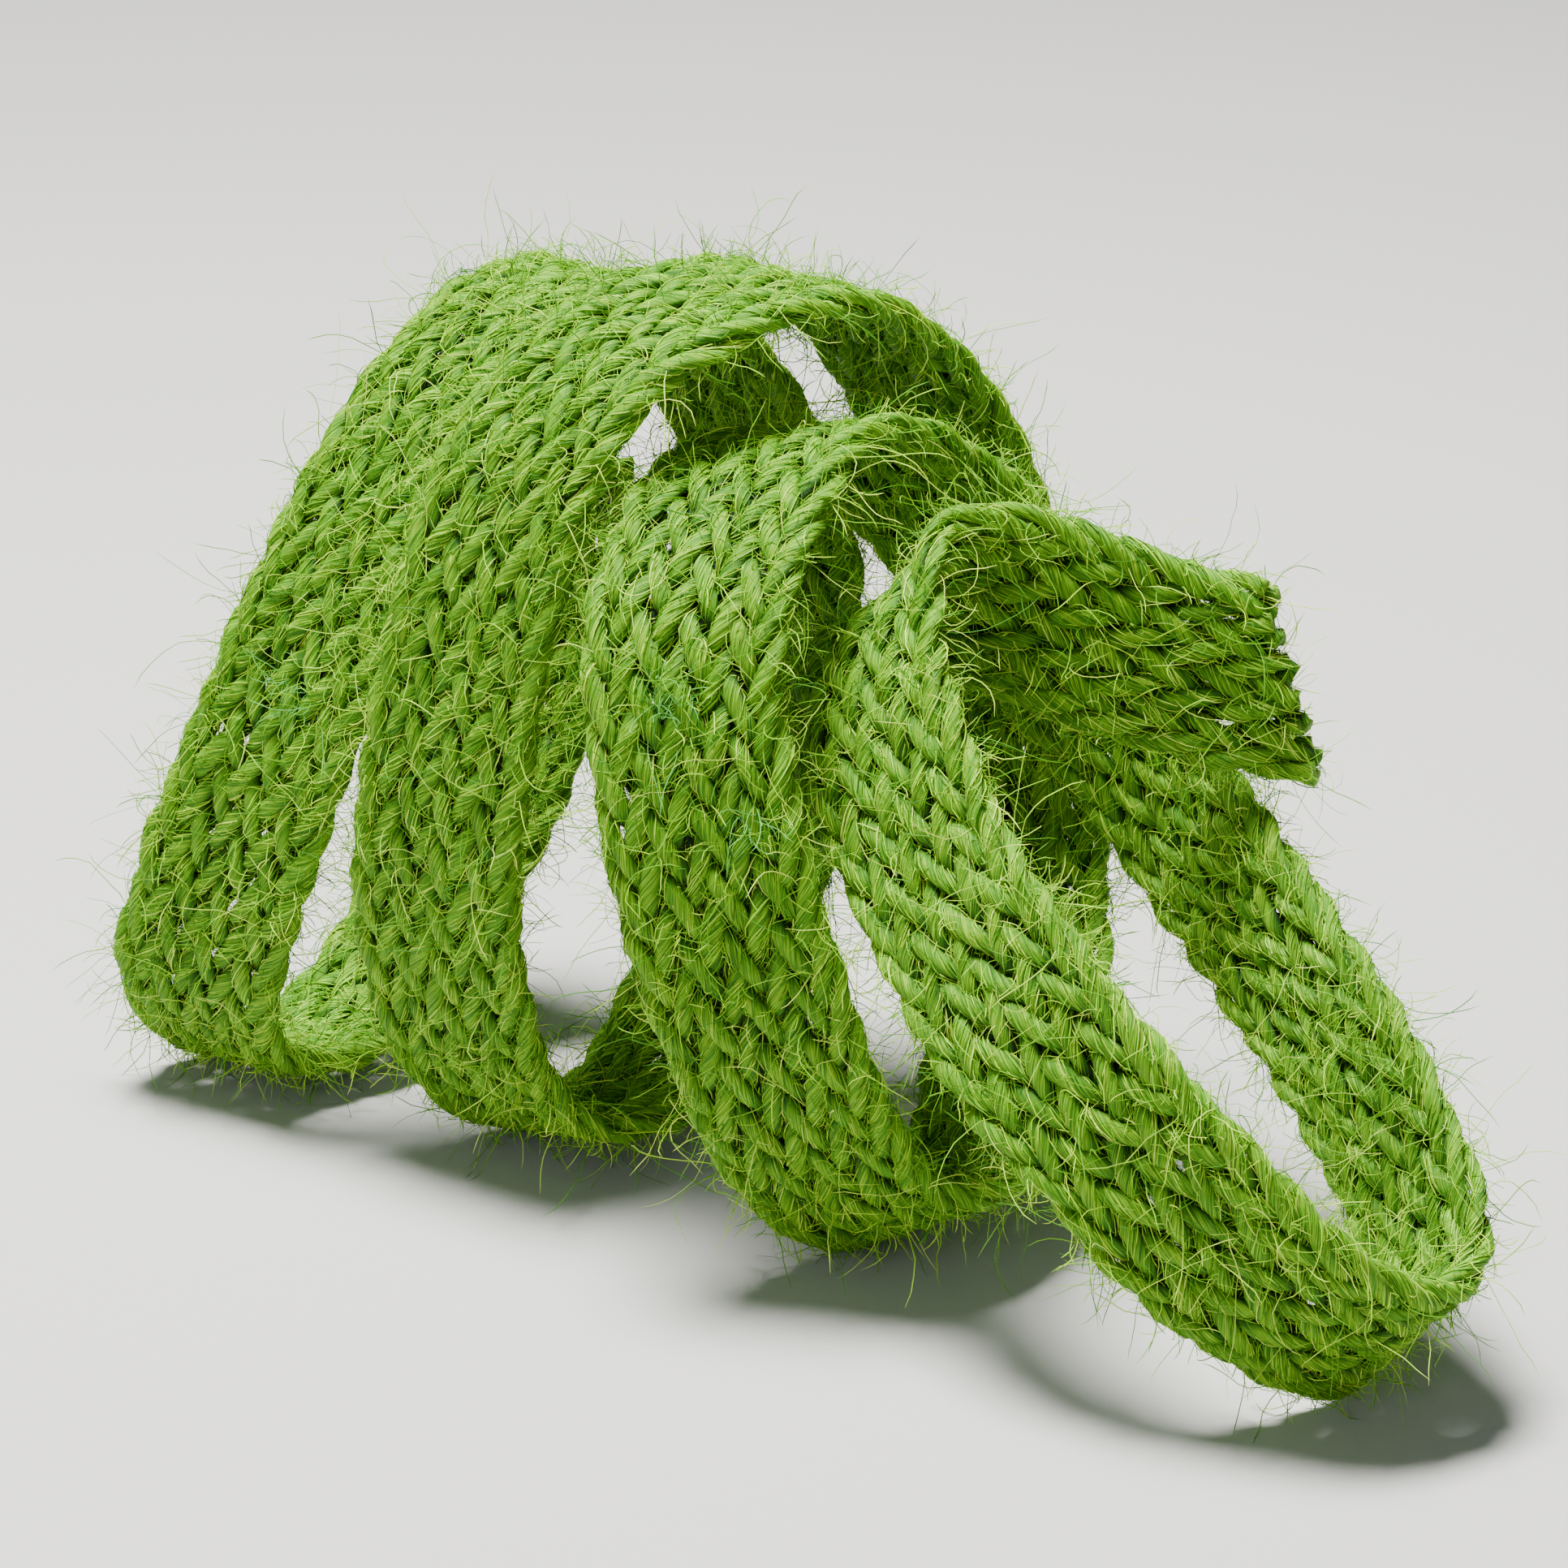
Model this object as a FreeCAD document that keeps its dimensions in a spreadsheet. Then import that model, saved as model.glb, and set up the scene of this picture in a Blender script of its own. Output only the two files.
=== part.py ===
import FreeCAD, Part
import math
import os

# Flat braided band of 17 yarns, laid down as a loose coil of four turns on its side.
# Frame: millimetres, +Z up, +X along the coil towards the free end. The origin is on the ground
# under the middle of the bounding box.

V = FreeCAD.Vector
doc = FreeCAD.newDocument("braided_band")

# ------------------------------------------------------------------ driving dimensions
DIMENSIONS = {
    "band_width": 15.0,         # over the outermost yarns
    "yarn_diameter": 0.72,
    "yarn_count": 17,
    "float_height": 0.62,       # of a yarn's path over the band's middle surface, in a float
    "braid_cycle": 78.2,        # band length in which a yarn crosses the width and comes back
    "selvedge_inset": 0.4,      # how far a yarn turns back inside the edge, in yarn columns
    "fold_station": 33.2,       # along the band from the free end to where that end folds
    "fold_gap": 1.4,            # clear length there between the free end's yarns and the coil's
    "skew_reach": 6.0,          # how far the cut end's lower corner stands past its upper one
    "origin_x": 4.98,           # the coil's middle in the route's own coordinates
    "origin_y": 3.64,
    "origin_z": 0.10,
}
sheet = doc.addObject("Spreadsheet::Sheet", "sizes")
for row, (name, value) in enumerate(DIMENSIONS.items(), start=1):
    sheet.set("A%d" % row, name)
    sheet.set("B%d" % row, str(value))
    sheet.setAlias("B%d" % row, name)
doc.recompute()

# The band's middle line, from the free end to the hidden end: x, y, z, then the direction of
# its width as a plan angle and a slope in degrees.
ROUTE = [
    # the free end
    (36.1, 18.9, 43.2, 42, 86),
    (30.4, 16.4, 43.8, 45, 84),
    (24.2, 14.3, 44.7, 45, 80),
    (19, 11.3, 46.5, 45, 76),
    (14, 8.4, 48.6, 45, 66),
    (10, 4, 50, 30, 50),
    (9, -1.5, 49, 10, 35),
    # first turn
    (12, -6, 45, 0, 20),
    (16, -8.5, 40.5, 0, 18),
    (21.5, -11, 35.5, 0, 22),
    (28.5, -14, 30.5, 5, 28),
    (37, -16, 25, 15, 35),
    (46, -15, 18, 20, 40),
    (53, -12, 11, 10, 45),
    (57.5, -5.5, 6.2, 0, 50),
    (57.5, 1.5, 8, -10, 45),
    (52, 6, 13.5, -15, 45),
    (44.5, 9.5, 19, -15, 45),
    (35.5, 13.7, 23.6, -15, 45),
    (25.5, 18.5, 28, -15, 45),
    (16.5, 21, 34, -5, 40),
    (8, 21.5, 41.5, 0, 35),
    (2, 18, 49.5, 5, 28),
    (-1, 11, 56.5, 10, 18),
    (-2, 3, 59.5, 20, 10),
    # second turn
    (-0.5, -5, 58, 25, 5),
    (1.7, -12, 54, 26, 5),
    (3, -16, 48, 26, 5),
    (5.5, -17.8, 39, 26, 5),
    (8.5, -18, 30, 26, 10),
    (11.5, -16.8, 20, 24, 15),
    (13.5, -14, 11, 15, 22),
    (16.5, -9, 4.6, 10, 28),
    (18.5, -1, 5, 0, 25),
    (14.2, 10, 10.2, 5, 12),
    (7.5, 21, 20.8, 5, 4),
    (1.2, 26, 33.5, 5, 0),
    (-3.2, 28, 46.5, 5, 0),
    (-6.2, 23, 59.5, 0, 0),
    (-6.8, 13, 67.5, 0, 0),
    # third turn
    (-8.5, 4, 69, 0, 0),
    (-12.8, -4.5, 66.2, 0, 5),
    (-16.2, -10.6, 58.2, 0, 5),
    (-17.8, -13.4, 49, 5, 5),
    (-19, -15, 40, 5, 5),
    (-20, -16.5, 30, 5, 10),
    (-21, -16, 18, 5, 10),
    (-19.5, -13, 7.5, 0, 15),
    (-16, -8, 2.5, 0, 12),
    (-13.5, -0.5, 3.9, 0, 12),
    (-13, 7, 10, 5, 5),
    (-13.5, 14, 21, 5, 0),
    (-15, 19, 33, 5, 0),
    (-17, 21, 45, 5, 0),
    (-20, 18, 57, 0, 0),
    (-23.5, 11, 65.5, 0, 0),
    # fourth turn
    (-25.8, 1, 66, 0, 3),
    (-29.6, -7.5, 56.5, 0, 5),
    (-33.6, -13, 43.5, 5, 5),
    (-37.4, -16, 32, 5, 10),
    (-41.2, -17.5, 21, 5, 12),
    (-45.5, -18.2, 9, 5, 12),
    (-44.5, -12.5, 1.9, 0, 10),
    (-42, -3, 3, 0, 10),
    (-40, 5, 10.5, 0, 5),
    (-38, 12, 22.5, 0, 0),
    (-36, 16, 36, 0, 0),
    (-35, 15.5, 49, 0, 0),
]

CORNER_REACH = 0.45     # of the shorter run that an arc takes up on each side of its corner
SPARE_LENGTH = 8.0      # band length over which a yarn's path runs on before it is cut


def size(name):
    return float(sheet.get(name))


# ------------------------------------------------------------------ the band's own surface
def smooth(poles):
    """Quadratic curve from the first pole to the last."""
    spans = len(poles) - 2
    curve = Part.BSplineCurve()
    multiplicities = [3] + [1] * (spans - 1) + [3]
    curve.buildFromPolesMultsKnots(poles, multiplicities, list(range(spans + 1)), False, 2)
    return curve


def band_curves():
    """The band's middle line and its edge on the side that the width direction points to."""
    origin = V(size("origin_x"), size("origin_y"), size("origin_z"))
    middle = [V(*row[:3]) - origin for row in ROUTE]
    edge = []
    for index, row in enumerate(ROUTE):
        along = middle[min(index + 1, len(middle) - 1)] - middle[max(index - 1, 0)]
        along.normalize()
        turn, slope = math.radians(row[3]), math.radians(row[4])
        level = math.cos(slope)
        across = V(level * math.cos(turn), level * math.sin(turn), math.sin(slope))
        across = across - along * across.dot(along)
        across.normalize()
        edge.append(middle[index] + across * (size("band_width") / 2))
    return smooth(middle), smooth(edge)


MIDDLE, EDGE = band_curves()
LENGTH = MIDDLE.length()


def place(station, lateral, height):
    """Point at a length along the band, a distance across it and a height over its surface."""
    inside = min(max(station, 0.0), LENGTH)
    parameter = MIDDLE.parameterAtDistance(inside, MIDDLE.FirstParameter)
    centre = MIDDLE.value(parameter)
    along = MIDDLE.tangent(parameter)[0]
    across = EDGE.value(parameter) - centre
    across = across - along * across.dot(along)
    across.normalize()
    centre = centre + along * (station - inside)
    return centre + across * lateral + along.cross(across) * height


# ------------------------------------------------------------------ the braid
def braid_corners():
    """Corners of one yarn's path in one cycle: (steps along, columns across, side).

    A yarn lies over two others, then under two, all the way across and back."""
    columns = int(size("yarn_count"))
    inset = size("selvedge_inset")
    corners = [(0.0, inset, 0)]
    for step in range(1, columns):
        corners.append((step, step, 1 - (step - 1) // 2 % 2 * 2))
    corners.append((float(columns), columns - inset, 0))
    for step in range(1, columns):
        corners.append((columns + step, columns - step, 1 - (step - 1) // 2 % 2 * 2))
    return corners


def yarn_corners(number, start, end):
    """(station, lateral, height) of the corners of one yarn over a stretch of the band."""
    columns = int(size("yarn_count"))
    step = size("braid_cycle") / (2 * columns)
    inset = size("selvedge_inset")
    pitch = (size("band_width") - size("yarn_diameter")) / (columns - 2 * inset)
    corners = []
    for cycle in range(-1, int(LENGTH / size("braid_cycle")) + 3):
        for along, across, side in braid_corners():
            station = (along + 2 * columns * cycle - 2 * number) * step
            lateral = (across - columns / 2) * pitch
            if start < station < end:
                corners.append((station, lateral, side * size("float_height")))
    return corners


def cut_plane(station, way, skew=0.0):
    """Plane across the band, (point, outward): way is -1 where the yarns start, 1 where they end.

    A skewed cut stands further out at the band's lower edge."""
    point = place(station, 0, 0)
    along = place(station + 0.5, 0, 0) - place(station - 0.5, 0, 0)
    along.normalize()
    across = place(station, 1, 0) - point
    outward = along * (way * size("band_width")) + across * (-way * skew)
    outward.normalize()
    return point, outward


# ------------------------------------------------------------------ yarns as solids
RADII = []


def rounded(points):
    """Straight runs joined by tangent arcs, as a list of edges."""
    edges = []
    start = points[0]
    for before, corner, after in zip(points, points[1:], points[2:]):
        arriving = corner - before
        leaving = after - corner
        reach = CORNER_REACH * min(arriving.Length, leaving.Length)
        half_turn = arriving.getAngle(leaving) / 2
        arriving.normalize()
        leaving.normalize()
        radius = reach / math.tan(half_turn)
        inward = leaving - arriving
        inward.normalize()
        arc_start = corner - arriving * reach
        arc_end = corner + leaving * reach
        arc_middle = corner + inward * (radius / math.cos(half_turn) - radius)
        edges.append(Part.LineSegment(start, arc_start).toShape())
        edges.append(Part.Arc(arc_start, arc_middle, arc_end).toShape())
        start = arc_end
        RADII.append(radius)
    edges.append(Part.LineSegment(start, points[-1]).toShape())
    return edges


def outside(edge, parameter, plane):
    return (edge.valueAt(parameter) - plane[0]).dot(plane[1]) > 0


def crossing(edge, plane, inner, outer):
    """Parameter at which an edge passes through a plane."""
    for _ in range(40):
        middle = (inner + outer) / 2
        if outside(edge, middle, plane):
            outer = middle
        else:
            inner = middle
    return inner


def trimmed(edges, start_plane, end_plane):
    """The edges between two planes, with the first and last of them cut short."""
    edges = list(edges)
    while outside(edges[0], edges[0].LastParameter, start_plane):
        edges.pop(0)
    while outside(edges[-1], edges[-1].FirstParameter, end_plane):
        edges.pop()
    first, last = edges[0], edges[-1]
    if outside(first, first.FirstParameter, start_plane):
        begin = crossing(first, start_plane, first.LastParameter, first.FirstParameter)
        edges[0] = first.Curve.toShape(begin, first.LastParameter)
    if outside(last, last.LastParameter, end_plane):
        finish = crossing(last, end_plane, last.FirstParameter, last.LastParameter)
        edges[-1] = last.Curve.toShape(last.FirstParameter, finish)
    return edges


def make_yarn(label, number, start_plane, end_plane, start, end):
    """A round yarn swept along its path; its thickness comes from the sheet."""
    corners = yarn_corners(number, start - SPARE_LENGTH, end + SPARE_LENGTH)
    edges = rounded([place(*corner) for corner in corners])
    edges = trimmed(edges, start_plane, end_plane)
    path = doc.addObject("Part::Feature", label + "_path")
    path.Shape = Part.Wire(edges)
    section = doc.addObject("Part::Circle", label + "_section")
    section.setExpression("Radius", "sizes.yarn_diameter / 2")
    facing = FreeCAD.Rotation(V(0, 0, 1), edges[0].tangentAt(edges[0].FirstParameter))
    start_point = edges[0].valueAt(edges[0].FirstParameter)
    section.Placement = FreeCAD.Placement(start_point, facing)
    yarn = doc.addObject("Part::Sweep", label)
    yarn.Sections = [section]
    yarn.Spine = (path, ["Edge%d" % (index + 1) for index in range(len(edges))])
    yarn.Solid = True
    yarn.Frenet = False
    yarn.Label = label
    return yarn, path


free_end_starts = 0.0
free_end_stops = size("fold_station") - size("fold_gap") / 2
coil_starts = size("fold_station") + size("fold_gap") / 2
free_cut = cut_plane(size("skew_reach") / 2, -1, size("skew_reach"))
free_fold = cut_plane(free_end_stops, 1)
coil_fold = cut_plane(coil_starts, -1)
hidden_cut = cut_plane(LENGTH, 1)
yarns = []
for number in range(int(size("yarn_count"))):
    name = "yarn_%02d" % (number + 1)
    yarns.append(make_yarn(name + "_free_end", number, free_cut, free_fold,
                           free_end_starts, free_end_stops))
    yarns.append(make_yarn(name + "_coil", number, coil_fold, hidden_cut,
                           coil_starts, LENGTH))
doc.recompute()

# ------------------------------------------------------------------ checks
for item in doc.Objects:
    if "Invalid" in item.State or "Error" in item.State:
        raise ValueError("%s failed: %s" % (item.Label, item.State))
section_area = math.pi * size("yarn_diameter") ** 2 / 4
box = FreeCAD.BoundBox()
volume = 0.0
for yarn, path in yarns:
    shape = yarn.Shape
    if shape.isNull() or not shape.isValid() or len(shape.Solids) != 1:
        raise ValueError(yarn.Label + " is not one valid solid")
    if abs(shape.Volume / (section_area * path.Shape.Length) - 1) > 0.001:
        raise ValueError(yarn.Label + " has the wrong volume")
    box.add(shape.BoundBox)
    volume += shape.Volume
tightest = min(RADII)
print("band %.1f mm long, %d solids, %.0f mm3" % (LENGTH, len(yarns), volume))
print("bend radii %.2f to %.2f mm, %.1f diameters at least" % (
    tightest, max(RADII), tightest / size("yarn_diameter")))
print("box x %.2f %.2f, y %.2f %.2f, z %.2f %.2f" % (
    box.XMin, box.XMax, box.YMin, box.YMax, box.ZMin, box.ZMax))

# ------------------------------------------------------------------ files
os.makedirs("parts", exist_ok=True)
for yarn, path in yarns:
    yarn.Shape.exportStep("parts/%s.step" % yarn.Label)
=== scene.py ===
"""Flat braided jute band lying as a loose coil: 17 twisted yarns and their loose fibres."""
import math

import bpy
import numpy as np
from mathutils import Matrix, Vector


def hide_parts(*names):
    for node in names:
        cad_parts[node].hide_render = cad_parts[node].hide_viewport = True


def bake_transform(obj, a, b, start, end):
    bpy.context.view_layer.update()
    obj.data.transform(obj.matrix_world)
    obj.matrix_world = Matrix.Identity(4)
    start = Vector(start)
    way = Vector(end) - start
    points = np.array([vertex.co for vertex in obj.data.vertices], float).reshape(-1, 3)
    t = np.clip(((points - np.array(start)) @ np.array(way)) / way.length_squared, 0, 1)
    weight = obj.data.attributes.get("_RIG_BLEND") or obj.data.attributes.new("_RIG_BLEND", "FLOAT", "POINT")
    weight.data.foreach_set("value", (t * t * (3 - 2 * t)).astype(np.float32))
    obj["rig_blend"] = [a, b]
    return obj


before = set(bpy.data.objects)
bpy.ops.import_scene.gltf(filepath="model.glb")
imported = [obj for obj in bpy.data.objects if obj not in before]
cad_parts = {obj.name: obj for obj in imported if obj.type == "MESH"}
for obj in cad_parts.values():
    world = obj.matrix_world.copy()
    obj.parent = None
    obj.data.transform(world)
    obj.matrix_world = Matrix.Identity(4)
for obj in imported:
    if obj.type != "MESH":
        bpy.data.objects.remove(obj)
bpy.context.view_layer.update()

MM = 0.001
TAU = 2 * math.pi


# ------------------------------------------------------------------ camera
VIEW_AZIMUTH = 38.0         # degrees, from the front towards the free end
VIEW_ELEVATION = 22.0
VIEW_DISTANCE = 420 * MM
VIEW_TARGET = Vector((-4.98, -3.64, 32.9)) * MM
SENSOR = 36.0
LENS = 129.1
CLIP_START = 10 * MM


def add_camera():
    azimuth, elevation = math.radians(VIEW_AZIMUTH), math.radians(VIEW_ELEVATION)
    away = Vector((math.sin(azimuth) * math.cos(elevation),
                   -math.cos(azimuth) * math.cos(elevation),
                   math.sin(elevation)))
    data = bpy.data.cameras.new("camera")
    data.sensor_width = SENSOR
    data.lens = LENS
    data.clip_start = CLIP_START
    camera = bpy.data.objects.new("camera", data)
    camera.location = VIEW_TARGET + away * VIEW_DISTANCE
    camera.rotation_euler = away.to_track_quat("Z", "Y").to_euler()
    bpy.context.collection.objects.link(camera)
    bpy.context.scene.camera = camera


add_camera()


# ------------------------------------------------------------------ the band's route
ORIGIN = (0.00498, 0.00364, 0.0001)     # the coil's middle in the route's own coordinates
BAND_WIDTH = 15.0                # millimetres, as every length below the route
BRAID_CYCLE = 78.2              # band length in which a yarn crosses the width and comes back
YARN_COUNT = 17

# The band's middle line, from the free end to the hidden end: x, y, z in metres, then the
# direction of its width as a plan angle and a slope in degrees.
ROUTE = [
    (0.0361, 0.0189, 0.0432, 42, 86), (0.0304, 0.0164, 0.0438, 45, 84),
    (0.0242, 0.0143, 0.0447, 45, 80), (0.019, 0.0113, 0.0465, 45, 76),
    (0.014, 0.0084, 0.0486, 45, 66), (0.01, 0.004, 0.05, 30, 50),
    (0.009, -0.0015, 0.049, 10, 35), (0.012, -0.006, 0.045, 0, 20),
    (0.016, -0.0085, 0.0405, 0, 18), (0.0215, -0.011, 0.0355, 0, 22),
    (0.0285, -0.014, 0.0305, 5, 28), (0.037, -0.016, 0.025, 15, 35),
    (0.046, -0.015, 0.018, 20, 40), (0.053, -0.012, 0.011, 10, 45),
    (0.0575, -0.0055, 0.0062, 0, 50), (0.0575, 0.0015, 0.008, -10, 45),
    (0.052, 0.006, 0.0135, -15, 45), (0.0445, 0.0095, 0.019, -15, 45),
    (0.0355, 0.0137, 0.0236, -15, 45), (0.0255, 0.0185, 0.028, -15, 45),
    (0.0165, 0.021, 0.034, -5, 40), (0.008, 0.0215, 0.0415, 0, 35),
    (0.002, 0.018, 0.0495, 5, 28), (-0.001, 0.011, 0.0565, 10, 18),
    (-0.002, 0.003, 0.0595, 20, 10), (-0.0005, -0.005, 0.058, 25, 5),
    (0.0017, -0.012, 0.054, 26, 5), (0.003, -0.016, 0.048, 26, 5),
    (0.0055, -0.0178, 0.039, 26, 5), (0.0085, -0.018, 0.03, 26, 10),
    (0.0115, -0.0168, 0.02, 24, 15), (0.0135, -0.014, 0.011, 15, 22),
    (0.0165, -0.009, 0.0046, 10, 28), (0.0185, -0.001, 0.005, 0, 25),
    (0.0142, 0.01, 0.0102, 5, 12), (0.0075, 0.021, 0.0208, 5, 4), (0.0012, 0.026, 0.0335, 5, 0),
    (-0.0032, 0.028, 0.0465, 5, 0), (-0.0062, 0.023, 0.0595, 0, 0),
    (-0.0068, 0.013, 0.0675, 0, 0), (-0.0085, 0.004, 0.069, 0, 0),
    (-0.0128, -0.0045, 0.0662, 0, 5), (-0.0162, -0.0106, 0.0582, 0, 5),
    (-0.0178, -0.0134, 0.049, 5, 5), (-0.019, -0.015, 0.04, 5, 5),
    (-0.02, -0.0165, 0.03, 5, 10), (-0.021, -0.016, 0.018, 5, 10),
    (-0.0195, -0.013, 0.0075, 0, 15), (-0.016, -0.008, 0.0025, 0, 12),
    (-0.0135, -0.0005, 0.0039, 0, 12), (-0.013, 0.007, 0.01, 5, 5),
    (-0.0135, 0.014, 0.021, 5, 0), (-0.015, 0.019, 0.033, 5, 0), (-0.017, 0.021, 0.045, 5, 0),
    (-0.02, 0.018, 0.057, 0, 0), (-0.0235, 0.011, 0.0655, 0, 0), (-0.0258, 0.001, 0.066, 0, 3),
    (-0.0296, -0.0075, 0.0565, 0, 5), (-0.0336, -0.013, 0.0435, 5, 5),
    (-0.0374, -0.016, 0.032, 5, 10), (-0.0412, -0.0175, 0.021, 5, 12),
    (-0.0455, -0.0182, 0.009, 5, 12), (-0.0445, -0.0125, 0.0019, 0, 10),
    (-0.042, -0.003, 0.003, 0, 10), (-0.04, 0.005, 0.0105, 0, 5), (-0.038, 0.012, 0.0225, 0, 0),
    (-0.036, 0.016, 0.036, 0, 0), (-0.035, 0.0155, 0.049, 0, 0),
]


ROUTE_RESOLUTION = 40       # points along the spline for each control point


def band_poles():
    """Control points of the band's middle line and of one edge, in millimetres."""
    middle = (np.array([row[:3] for row in ROUTE]) - ORIGIN) / MM
    along = np.gradient(middle, axis=0)
    along /= np.linalg.norm(along, axis=1)[:, None]
    turn = np.radians([row[3] for row in ROUTE])
    slope = np.radians([row[4] for row in ROUTE])
    across = np.stack([np.cos(slope) * np.cos(turn), np.cos(slope) * np.sin(turn),
                       np.sin(slope)], axis=1)
    across -= along * (across * along).sum(1)[:, None]
    across /= np.linalg.norm(across, axis=1)[:, None]
    return middle, middle + across * BAND_WIDTH / 2


def smooth_line(poles):
    """Points along the NURBS spline that has these control points."""
    curve = bpy.data.curves.new("route", "CURVE")
    curve.dimensions = "3D"
    spline = curve.splines.new("NURBS")
    spline.points.add(len(poles) - 1)
    for point, pole in zip(spline.points, poles):
        point.co = (*pole, 1)
    spline.order_u = 3
    spline.use_endpoint_u = True
    spline.resolution_u = ROUTE_RESOLUTION
    holder = bpy.data.objects.new("route", curve)
    mesh = bpy.data.meshes.new_from_object(holder)
    points = np.empty(len(mesh.vertices) * 3)
    mesh.vertices.foreach_get("co", points)
    bpy.data.meshes.remove(mesh)
    bpy.data.objects.remove(holder)
    bpy.data.curves.remove(curve)
    return points.reshape(-1, 3)


def unit(vectors):
    return vectors / np.maximum(np.linalg.norm(vectors, axis=-1, keepdims=True), 1e-12)


middle_poles, edge_poles = band_poles()
MIDDLE = smooth_line(middle_poles)
EDGE = smooth_line(edge_poles)
STATIONS = np.concatenate([[0], np.cumsum(np.linalg.norm(np.diff(MIDDLE, axis=0), axis=1))])
LENGTH = STATIONS[-1]
ALONG = unit(np.gradient(MIDDLE, STATIONS, axis=0))
ACROSS = EDGE - MIDDLE
ACROSS = unit(ACROSS - ALONG * (ACROSS * ALONG).sum(1)[:, None])
OUTWARD = np.cross(ALONG, ACROSS)


def sample(values, stations):
    """Rows of a table along the band, at these stations."""
    columns = [np.interp(stations, STATIONS, values[:, axis]) for axis in range(3)]
    return np.stack(columns, axis=-1)


def place(stations, lateral, height):
    """Points at these lengths along the band, distances across it and heights over it."""
    inside = np.clip(stations, 0, LENGTH)
    along = unit(sample(ALONG, inside))
    centre = sample(MIDDLE, inside) + along * (stations - inside)[..., None]
    across = unit(sample(ACROSS, inside))
    outward = unit(sample(OUTWARD, inside))
    return centre + across * lateral[..., None] + outward * height[..., None]


# ------------------------------------------------------------------ the braid
COLUMNS = YARN_COUNT                    # yarn crossings across the band, and the two edges
FLOATS = (YARN_COUNT - 1) // 2          # floats on the way across
STEP = BRAID_CYCLE / (2 * COLUMNS)      # band length from one crossing to the next
TURN_ROUNDING = 0.7                     # in columns: how far inside the edge a yarn turns back
YARN_WIDTH = 1.42                       # of a yarn pressed flat in a float
YARN_THICKNESS = 1.02
COLUMN_PITCH = (BAND_WIDTH - YARN_THICKNESS) / (COLUMNS - 2 * TURN_ROUNDING)
FLOAT_HEIGHT = 0.58
SKEW_REACH = 6.0        # how far the free end's lower corner stands past its upper one
STATION_STEP = 0.05     # at which a yarn's way is first worked out
RING_STEP = 0.24        # yarn length from one ring of its mesh to the next
SIDES = 16
TWIST_PITCH = 6.5       # yarn length in which its fibres go once round
ROUND_WIDTH = 1.24      # of a yarn between two floats, where nothing presses it
ROUND_THICKNESS = 1.06
FLAT_POWER = 1.5        # how late a yarn flattens on its way into a float

# Random variation: amount in millimetres or as a share, and length from knot to knot.
WANDER_UP = (0.08, 4.1)
WANDER_ACROSS = (0.17, 5.9)
CUT_ROUGHNESS = (0.18, 0.9)
SWELLING = (0.07, 5.0)
RIDGES = (0.045, 1.3)
RIDGE_STEP = 0.03       # every other column of a yarn stands out by this share
RIDGE_STRETCH = 0.7     # ridges are drawn out along the yarn


def float_phases():
    """Steps at which a yarn is furthest out, over one cycle, and the wave's phase there."""
    steps = [2 * index + 1.5 for index in range(FLOATS)]
    steps += [COLUMNS + step for step in steps]
    return np.array(steps), np.arange(len(steps)) * math.pi


def braid(steps):
    """Lateral place and height of a yarn after these steps along its way."""
    cycle = 2 * COLUMNS
    within = np.mod(steps, cycle)
    from_edge = np.abs(within - COLUMNS)
    near = np.minimum(from_edge, COLUMNS - from_edge)
    rounded = np.sqrt(near ** 2 + TURN_ROUNDING ** 2)
    column = np.where(from_edge < COLUMNS / 2, COLUMNS - rounded, rounded)
    knots, phases = float_phases()
    knots = np.concatenate([knots - cycle, knots, knots + cycle])
    turns = len(phases) * math.pi
    phases = np.concatenate([phases - turns, phases, phases + turns])
    wave = np.sin(np.cos(np.interp(within, knots, phases)) * math.pi / 2)
    return (column - COLUMNS / 2) * COLUMN_PITCH, wave


def ripple(stations, amount, wavelength, seed):
    """Smooth random variation along the band."""
    local = np.random.default_rng(seed)
    count = int((LENGTH + 60) / wavelength) + 4
    knots = (np.arange(count) - 2) * wavelength - 20
    values = local.normal(0, amount, count)
    place_in = (stations - knots[0]) / wavelength
    index = np.clip(place_in.astype(int), 0, count - 2)
    share = place_in - index
    share = share * share * (3 - 2 * share)
    return values[index] * (1 - share) + values[index + 1] * share


def yarn_line(number):
    """Station, point, section directions and shape factors of every ring of one yarn."""
    stations = np.arange(-SKEW_REACH, LENGTH + 0.01, STATION_STEP)
    lateral, wave = braid(stations / STEP + 2 * number)
    wander = ripple(stations, *WANDER_UP, 100 + number)
    lateral = lateral + ripple(stations, *WANDER_ACROSS, 200 + number)
    height = wave * FLOAT_HEIGHT + wander
    points = place(stations, lateral, height)
    cut = SKEW_REACH * (lateral / BAND_WIDTH + 0.5)
    cut = cut + ripple(stations, *CUT_ROUGHNESS, 300 + number)
    kept = stations >= np.maximum(cut, 0)
    first = int(np.argmax(kept))
    stations, points, wave = stations[first:], points[first:], wave[first:]
    lengths = np.concatenate([[0], np.cumsum(np.linalg.norm(np.diff(points, axis=0), axis=1))])
    rings = np.linspace(0, lengths[-1], int(lengths[-1] / RING_STEP))
    at = np.interp(rings, lengths, stations)
    centre = np.stack([np.interp(rings, lengths, points[:, axis]) for axis in range(3)], axis=1)
    along = unit(np.gradient(centre, rings, axis=0))
    outward = sample(OUTWARD, np.clip(at, 0, LENGTH))
    outward = unit(outward - along * (outward * along).sum(1)[:, None])
    sideways = np.cross(outward, along)
    return {
        "length": rings,
        "station": at,
        "lateral": np.interp(at, stations, lateral[first:]),
        "height": np.interp(at, stations, height[first:]),
        "centre": centre,
        "along": along,
        "outward": outward,
        "sideways": sideways,
        "wave": np.interp(rings, lengths, wave),
    }


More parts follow.
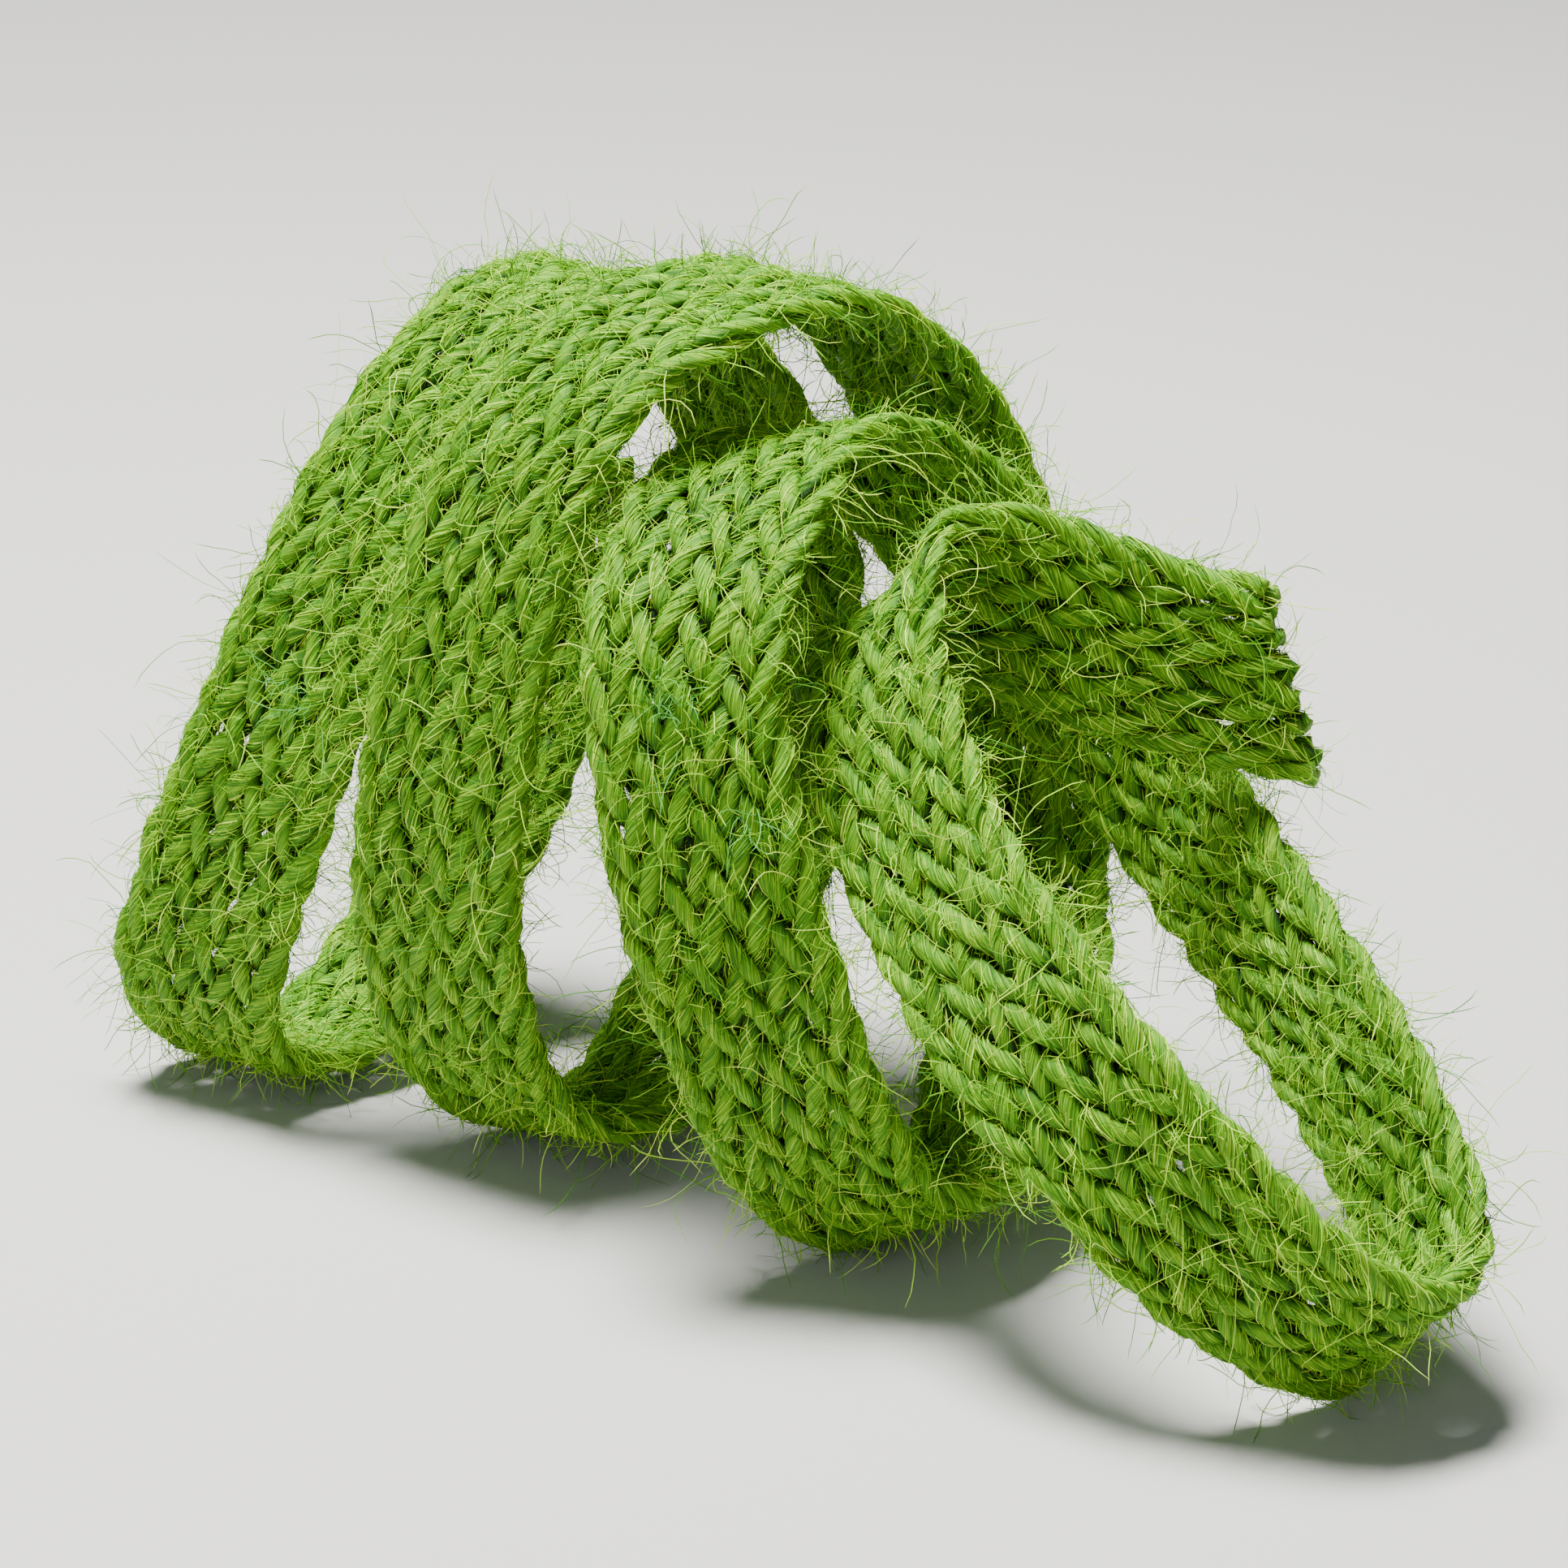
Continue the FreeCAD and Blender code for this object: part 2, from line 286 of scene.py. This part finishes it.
def half_sizes(line, number):
    """Half width and half thickness of each ring: flat in a float, round between two."""
    flat = np.abs(line["wave"]) ** FLAT_POWER
    swell = 1 + ripple(line["station"], *SWELLING, 400 + number)
    width = (ROUND_WIDTH + (YARN_WIDTH - ROUND_WIDTH) * flat) * swell
    thickness = (ROUND_THICKNESS + (YARN_THICKNESS - ROUND_THICKNESS) * flat) * swell
    return width / 2, thickness / 2


def surface_point(line, ring, angle, lift, sizes):
    """Point on or over a yarn's section at a (fractional) ring and an angle round it."""
    low = np.clip(ring.astype(int), 0, len(line["length"]) - 2)
    share = np.clip(ring - low, 0, 1)[..., None]

    def mix(values):
        return values[low] * (1 - share) + values[low + 1] * share

    width = sizes[0][low] + lift
    thickness = sizes[1][low] + lift
    offset = mix(line["sideways"]) * (width * np.cos(angle))[..., None]
    offset = offset + mix(line["outward"]) * (thickness * np.sin(angle))[..., None]
    return mix(line["centre"]) + offset


# ------------------------------------------------------------------ meshes
def add_mesh(name, points, quads, caps=()):
    """Mesh object from points in millimetres, quads, and a few faces with more corners."""
    mesh = bpy.data.meshes.new(name)
    faces = len(quads) + len(caps)
    corners = np.concatenate([quads.ravel(), *[np.asarray(cap) for cap in caps]]).astype(np.int32)
    totals = np.concatenate([np.full(len(quads), 4), [len(cap) for cap in caps]]).astype(np.int32)
    starts = np.concatenate([[0], np.cumsum(totals)[:-1]]).astype(np.int32)
    mesh.vertices.add(len(points))
    mesh.vertices.foreach_set("co", (points * MM).astype(np.float32).ravel())
    mesh.loops.add(len(corners))
    mesh.loops.foreach_set("vertex_index", corners)
    mesh.polygons.add(faces)
    mesh.polygons.foreach_set("loop_start", starts)
    mesh.polygons.foreach_set("loop_total", totals)
    mesh.polygons.foreach_set("use_smooth", np.ones(faces, bool))
    mesh.update(calc_edges=True)
    mesh.validate()
    piece = bpy.data.objects.new(name, mesh)
    bpy.context.collection.objects.link(piece)
    return piece


def add_values(piece, name, values, kind="FLOAT"):
    attribute = piece.data.attributes.new(name, kind, "POINT")
    key = "vector" if kind == "FLOAT_VECTOR" else "value"
    attribute.data.foreach_set(key, np.ascontiguousarray(values, np.float32).ravel())


def tube_quads(rings, sides, tubes=1):
    """Quads that join the rings of one or more tubes of equal length."""
    ring = np.arange(rings - 1)[:, None] * sides
    side = np.arange(sides)[None, :]
    after = (side + 1) % sides
    quads = np.stack([ring + side, ring + after, ring + sides + after, ring + sides + side],
                     axis=-1).reshape(-1, 4)
    shifts = np.arange(tubes) * rings * sides
    return (quads[None] + shifts[:, None, None]).reshape(-1, 4)


# ------------------------------------------------------------------ the free end's fold
FOLD_START = 23.0       # stations between which the band bends when its free end moves
FOLD_END = 43.0
fold_ends = [Vector(sample(MIDDLE, np.array([station]))[0] * MM)
             for station in (FOLD_START, FOLD_END)]


def bend_at_fold(piece, stations):
    """The piece bends with its band at the fold: its points follow by their place along it."""
    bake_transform(piece, "free_end", "coil", start=fold_ends[0], end=fold_ends[1])
    share = np.clip((stations - FOLD_START) / (FOLD_END - FOLD_START), 0, 1)
    share = share * share * (3 - 2 * share)
    weights = piece.data.attributes["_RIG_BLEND"]
    weights.data.foreach_set("value", share.astype(np.float32))


# ------------------------------------------------------------------ yarns
CUT_PAINTED_LIGHT = 0.82        # painted light level at a cut face, against 1 for the yarn's outermost surface, which gets no painted shade
CUT_DEPTH = 1.6         # yarn length over which that falls off


def make_yarn(number, line, sizes):
    """One twisted yarn: its mesh columns follow the twist, as ridges of bundled fibres."""
    local = np.random.default_rng(1000 + number)
    rings = len(line["length"])
    column = np.arange(SIDES) / SIDES * TAU
    twist = line["length"] / TWIST_PITCH * TAU
    angle = column[None, :] + twist[:, None] + local.uniform(0, TAU)
    ridge = np.empty((rings, SIDES))
    for index in range(SIDES):
        seed = 5000 + number * SIDES + index
        ridge[:, index] = ripple(line["length"] * RIDGE_STRETCH, *RIDGES, seed)
        ridge[:, index] += RIDGE_STEP if index % 2 else -RIDGE_STEP
    width = sizes[0][:, None] * (1 + ridge)
    thickness = sizes[1][:, None] * (1 + ridge)
    points = line["centre"][:, None] \
        + line["sideways"][:, None] * (width * np.cos(angle))[..., None] \
        + line["outward"][:, None] * (thickness * np.sin(angle))[..., None]
    caps = [np.arange(SIDES)[::-1], np.arange(SIDES) + (rings - 1) * SIDES]
    piece = add_mesh("yarn_%02d" % (number + 1), points.reshape(-1, 3),
                     tube_quads(rings, SIDES), caps)
    fibre = np.stack([np.broadcast_to(np.cos(column), (rings, SIDES)),
                      np.broadcast_to(np.sin(column), (rings, SIDES)),
                      np.broadcast_to(line["length"][:, None] * 0.045 + 7.3 * number,
                                      (rings, SIDES))], axis=-1)
    add_values(piece, "fibre", fibre.reshape(-1, 3), "FLOAT_VECTOR")
    # painted shade: points deep in the braid get a low value and so a darker painted colour; the band's
    # edges and cut ends are kept light
    reach = np.abs(line["height"][:, None] + thickness * np.sin(angle))
    at_edge = np.abs(line["lateral"][:, None]) - BAND_WIDTH / 2 + 1.9
    from_cut = np.minimum(line["length"], line["length"][-1] - line["length"])[:, None]
    painted_light = np.maximum(reach / (FLOAT_HEIGHT + YARN_THICKNESS / 2), at_edge)
    painted_light = np.maximum(painted_light, CUT_PAINTED_LIGHT - from_cut / CUT_DEPTH)
    add_values(piece, "painted_light", np.clip(painted_light, 0, 1))
    return piece


# ------------------------------------------------------------------ fibres
FIBRE_SIDES = 3
TUFTS = [(241.5, 3.8), (233.0, -1.0), (581.0, 1.2)]     # blue-green tufts: station, lateral


def fibre_tubes(name, paths, radii, tones):
    """Thin tubes along many paths of equal point count, tapering at both ends."""
    count, steps = paths.shape[:2]
    along = unit(np.gradient(paths, axis=1))
    reference = np.array([0.3, 0.2, 0.93])
    side = unit(np.cross(along, reference))
    up = np.cross(side, along)
    taper = np.ones(steps)
    taper[0] = 0.7
    taper[-1] = 0.25
    thickness = radii[:, None] * taper[None, :]
    angles = np.arange(FIBRE_SIDES) / FIBRE_SIDES * TAU
    points = paths[:, :, None] \
        + side[:, :, None] * (thickness[..., None] * np.cos(angles))[..., None] \
        + up[:, :, None] * (thickness[..., None] * np.sin(angles))[..., None]
    points[..., 2] = np.maximum(points[..., 2], 0.0)
    quads = tube_quads(steps, FIBRE_SIDES, count)
    return points.reshape(-1, 3), quads, np.repeat(tones, steps * FIBRE_SIDES)


def lying_fibres(line, sizes, count, local):
    """Fibres that lie along a yarn's twist and lift off it a little at their ends."""
    steps = 7
    rings = len(line["length"])
    start = local.uniform(0, rings - 1, count)
    reach = local.uniform(2.2, 6.0, count) / RING_STEP
    share = np.linspace(-0.5, 0.5, steps)[None, :]
    ring = np.clip(start[:, None] + reach[:, None] * share, 0, rings - 1.001)
    rate = TAU / TWIST_PITCH * RING_STEP * local.uniform(0.6, 1.25, count)
    angle = local.uniform(0, TAU, count)[:, None] + ring * rate[:, None]
    lift = 0.03 + local.exponential(0.05, count)[:, None] * (1 + 6 * np.abs(share) ** 2)
    lift = lift + local.normal(0, 0.02, (count, steps))
    paths = surface_point(line, ring, angle, lift, sizes)
    stations = np.interp(ring, np.arange(rings), line["station"])
    return paths, stations


def loose_fibres(line, sizes, count, local):
    """Fibres that stand out of a yarn and curl."""
    steps = 8
    rings = len(line["length"])
    density = np.clip(1 + ripple(line["station"], 0.7, 7.0, int(local.integers(1 << 30))), 0.1, 4)
    density = density + 1.2 * (np.abs(line["lateral"]) > BAND_WIDTH / 2 - 1.6)
    for station, lateral in TUFTS:
        away = np.hypot(line["station"] - station, line["lateral"] - lateral)
        density = density + 6 * np.exp(-away ** 2 / 1.6)
    chance = np.cumsum(density) / density.sum()
    ring = np.searchsorted(chance, local.uniform(0, 1, count)).clip(0, rings - 2).astype(float)
    angle = local.uniform(0, TAU, count)
    root = surface_point(line, ring, angle, np.full(count, -0.1), sizes)
    index = ring.astype(int)
    normal = line["sideways"][index] * np.cos(angle)[:, None] \
        + line["outward"][index] * np.sin(angle)[:, None]
    along = line["along"][index] * local.choice([-1, 1], count)[:, None]
    around = np.cross(line["along"][index], normal)
    direction = unit(along * local.uniform(0.2, 1.2, count)[:, None]
                     + normal * local.uniform(0.15, 1.0, count)[:, None]
                     + around * local.normal(0, 0.6, count)[:, None])
    reach = np.clip(local.lognormal(1.02, 0.55, count), 0.9, 9.0)
    curl = unit(local.normal(0, 1, (count, 3))) * local.uniform(0.0, 0.42, count)[:, None]
    paths = np.empty((count, steps, 3))
    paths[:, 0] = root
    for step in range(1, steps):
        direction = unit(direction + np.cross(curl, direction)
                         + local.normal(0, 0.13, (count, 3)))
        direction[:, 2] -= 0.012 * reach * step / steps
        direction = unit(direction)
        paths[:, step] = paths[:, step - 1] + direction * (reach / (steps - 1))[:, None]
    stations = np.repeat(line["station"][index][:, None], steps, axis=1)
    return paths, stations


LYING_COUNT = 1900              # on each yarn
LOOSE_COUNT = 2300
LYING_RADIUS = (0.032, 0.062)   # least and most
LOOSE_RADIUS = (0.022, 0.048)
TUFT_LENGTH = 1.7               # band length over which a tuft's fibres take its colour
TUFT_RADIUS = 1.9
TUFT_SHARE = 0.7                # of the fibres there


def make_fibres(number, line, sizes):
    """The fibres on one yarn, as one piece."""
    local = np.random.default_rng(3000 + number)
    parts = []
    for shape, count, radius in ((lying_fibres, LYING_COUNT, LYING_RADIUS),
                                 (loose_fibres, LOOSE_COUNT, LOOSE_RADIUS)):
        paths, stations = shape(line, sizes, count, local)
        radii = local.uniform(*radius, count)
        tones = local.uniform(0, 0.95, count)
        for station, lateral in TUFTS:
            root = np.abs(stations[:, 0] - station) < TUFT_LENGTH
            rooted = place(np.array([station]), np.array([lateral]), np.array([0.0]))[0]
            root &= np.linalg.norm(paths[:, 0] - rooted, axis=1) < TUFT_RADIUS
            root &= local.uniform(0, 1, count) < TUFT_SHARE
            tones[root] = 1.0
        points, quads, tone = fibre_tubes(shape.__name__, paths, radii, tones)
        parts.append((points, quads, tone, np.repeat(stations.ravel(), FIBRE_SIDES)))
    shift = len(parts[0][0])
    points = np.concatenate([parts[0][0], parts[1][0]])
    quads = np.concatenate([parts[0][1], parts[1][1] + shift])
    piece = add_mesh("fibres_%02d" % (number + 1), points, quads)
    add_values(piece, "tone", np.concatenate([parts[0][2], parts[1][2]]))
    return piece, np.concatenate([parts[0][3], parts[1][3]])


# ------------------------------------------------------------------ materials
def node(tree, kind, **values):
    made = tree.nodes.new(kind)
    for name, value in values.items():
        setattr(made, name, value)
    return made


def ramp(tree, source, stops):
    """Colour ramp over a 0 to 1 value."""
    made = node(tree, "ShaderNodeValToRGB")
    tree.links.new(source, made.inputs["Fac"])
    elements = made.color_ramp.elements
    while len(elements) < len(stops):
        elements.new(0.5)
    for element, (position, colour) in zip(elements, stops):
        element.position = position
        element.color = (*colour, 1)
    return made.outputs["Color"]


SPECULAR = 0.25
SHEEN = 0.12
SHEEN_ROUGHNESS = 0.4
SHEEN_TINT = (0.6, 1.0, 0.15, 1)
YARN_ROUGHNESS = 0.62
FIBRE_ROUGHNESS = 0.5


def principled(material, roughness):
    tree = material.node_tree
    shader = tree.nodes["Principled BSDF"]
    shader.inputs["Roughness"].default_value = roughness
    shader.inputs["Specular IOR Level"].default_value = SPECULAR
    shader.inputs["Sheen Weight"].default_value = SHEEN
    shader.inputs["Sheen Roughness"].default_value = SHEEN_ROUGHNESS
    shader.inputs["Sheen Tint"].default_value = SHEEN_TINT
    return tree, shader


def noise(tree, vector, scale, detail=2.0, roughness=0.5):
    made = node(tree, "ShaderNodeTexNoise")
    made.inputs["Scale"].default_value = scale
    made.inputs["Detail"].default_value = detail
    made.inputs["Roughness"].default_value = roughness
    tree.links.new(vector, made.inputs["Vector"])
    return made.outputs["Fac"]


def mix_colours(tree, share, first, second, blend_type="MIX"):
    made = node(tree, "ShaderNodeMix", data_type="RGBA", blend_type=blend_type)
    if hasattr(share, "is_output"):
        tree.links.new(share, made.inputs["Factor"])
    else:
        made.inputs["Factor"].default_value = share
    for source, socket in ((first, made.inputs[6]), (second, made.inputs[7])):
        if hasattr(source, "is_output"):
            tree.links.new(source, socket)
        else:
            socket.default_value = (*source, 1)
    return made.outputs[2]


def yarn_material():
    """Green jute: streaks along the twist, patches that took the dye differently, and painted shade that
    darkens the yarn deep in the braid.
    """
    material = bpy.data.materials.new("green_jute_yarn")
    material.use_nodes = True
    tree, shader = principled(material, YARN_ROUGHNESS)
    fibre = node(tree, "ShaderNodeAttribute", attribute_name="fibre").outputs["Vector"]
    place_at = node(tree, "ShaderNodeTexCoord").outputs["Object"]
    streak = noise(tree, fibre, 6.5, 3.0, 0.62)
    fine = noise(tree, fibre, 15.0, 2.0, 0.6)
    patch = noise(tree, place_at, 110.0, 3.0, 0.55)
    streaks = ramp(tree, streak, [(0.30, (0.012, 0.10, 0.0)), (0.46, (0.08, 0.30, 0.0)),
                                  (0.60, (0.30, 0.58, 0.002)), (0.75, (0.64, 0.90, 0.045))])
    fines = ramp(tree, fine, [(0.36, (0.18, 0.28, 0.12)), (0.58, (1.0, 1.0, 1.0))])
    colour = mix_colours(tree, 0.75, streaks, fines, "MULTIPLY")
    patches = ramp(tree, patch, [(0.35, (0.88, 1.0, 0.8)), (0.5, (1.0, 1.0, 1.0)),
                                 (0.68, (0.86, 1.0, 1.15))])
    colour = mix_colours(tree, 0.7, colour, patches, "MULTIPLY")
    # painted shade: the colour darkens and turns greener where the yarn lies deep in the braid
    painted_light = node(tree, "ShaderNodeAttribute", attribute_name="painted_light").outputs["Fac"]
    painted_shade = ramp(tree, painted_light, [(0.25, (0.03, 0.09, 0.02)), (0.60, (0.34, 0.54, 0.3)),
                                (0.92, (1.0, 1.0, 1.0))])
    colour = mix_colours(tree, 1.0, colour, painted_shade, "MULTIPLY")
    tree.links.new(colour, shader.inputs["Base Color"])
    bump = node(tree, "ShaderNodeBump")
    bump.inputs["Strength"].default_value = 0.7
    bump.inputs["Distance"].default_value = 0.00012
    tree.links.new(fine, bump.inputs["Height"])
    tree.links.new(bump.outputs["Normal"], shader.inputs["Normal"])
    return material


def fibre_material():
    """Loose fibres, each of its own shade, from darker than the yarn to paler."""
    material = bpy.data.materials.new("green_jute_fibre")
    material.use_nodes = True
    tree, shader = principled(material, FIBRE_ROUGHNESS)
    tone = node(tree, "ShaderNodeAttribute", attribute_name="tone").outputs["Fac"]
    colour = ramp(tree, tone, [(0.0, (0.03, 0.19, 0.0)), (0.4, (0.16, 0.45, 0.002)),
                               (0.75, (0.42, 0.74, 0.02)), (0.94, (0.66, 0.88, 0.11)),
                               (1.0, (0.13, 0.48, 0.08))])
    tree.links.new(colour, shader.inputs["Base Color"])
    return material


YARN = yarn_material()
FIBRE = fibre_material()

for number in range(YARN_COUNT):
    line = yarn_line(number)
    sizes = half_sizes(line, number)
    yarn = make_yarn(number, line, sizes)
    yarn.data.materials.append(YARN)
    bend_at_fold(yarn, np.repeat(line["station"], SIDES))
    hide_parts("yarn_%02d_coil" % (number + 1), "yarn_%02d_free_end" % (number + 1))
    fibres, fibre_stations = make_fibres(number, line, sizes)
    fibres.data.materials.append(FIBRE)
    bend_at_fold(fibres, fibre_stations)


# ------------------------------------------------------------------ floor and light
FLOOR_SIZE = 4.0
FLOOR_COLOUR = (0.53, 0.53, 0.52, 1)
FLOOR_ROUGHNESS = 0.8
WORLD_COLOUR = (0.93, 0.96, 1.0, 1)
WORLD_STRENGTH = 0.11
LIGHTS_AIM = Vector((0, 0, 0.03))


def add_floor():
    bpy.ops.mesh.primitive_plane_add(size=FLOOR_SIZE, location=(0, 0, 0))
    floor = bpy.context.object
    floor.name = "floor"
    material = bpy.data.materials.new("floor")
    material.use_nodes = True
    shader = material.node_tree.nodes["Principled BSDF"]
    shader.inputs["Base Color"].default_value = FLOOR_COLOUR
    shader.inputs["Roughness"].default_value = FLOOR_ROUGHNESS
    floor.data.materials.append(material)


def add_area_light(name, place_at, size, power, colour):
    data = bpy.data.lights.new(name, "AREA")
    data.shape = "DISK"
    data.size = size
    data.energy = power
    data.color = colour
    light = bpy.data.objects.new(name, data)
    light.location = place_at
    away = Vector(place_at) - LIGHTS_AIM
    light.rotation_euler = away.to_track_quat("Z", "Y").to_euler()
    bpy.context.collection.objects.link(light)


def add_world():
    world = bpy.data.worlds.new("studio")
    world.use_nodes = True
    background = world.node_tree.nodes["Background"]
    background.inputs["Color"].default_value = WORLD_COLOUR
    background.inputs["Strength"].default_value = WORLD_STRENGTH
    bpy.context.scene.world = world


add_floor()
add_world()
add_area_light("key", (-0.11, -0.02, 0.60), 0.20, 15.5, (1.0, 0.98, 0.94))
add_area_light("fill", (0.20, -0.60, 0.30), 0.50, 1.1, (0.94, 0.97, 1.0))
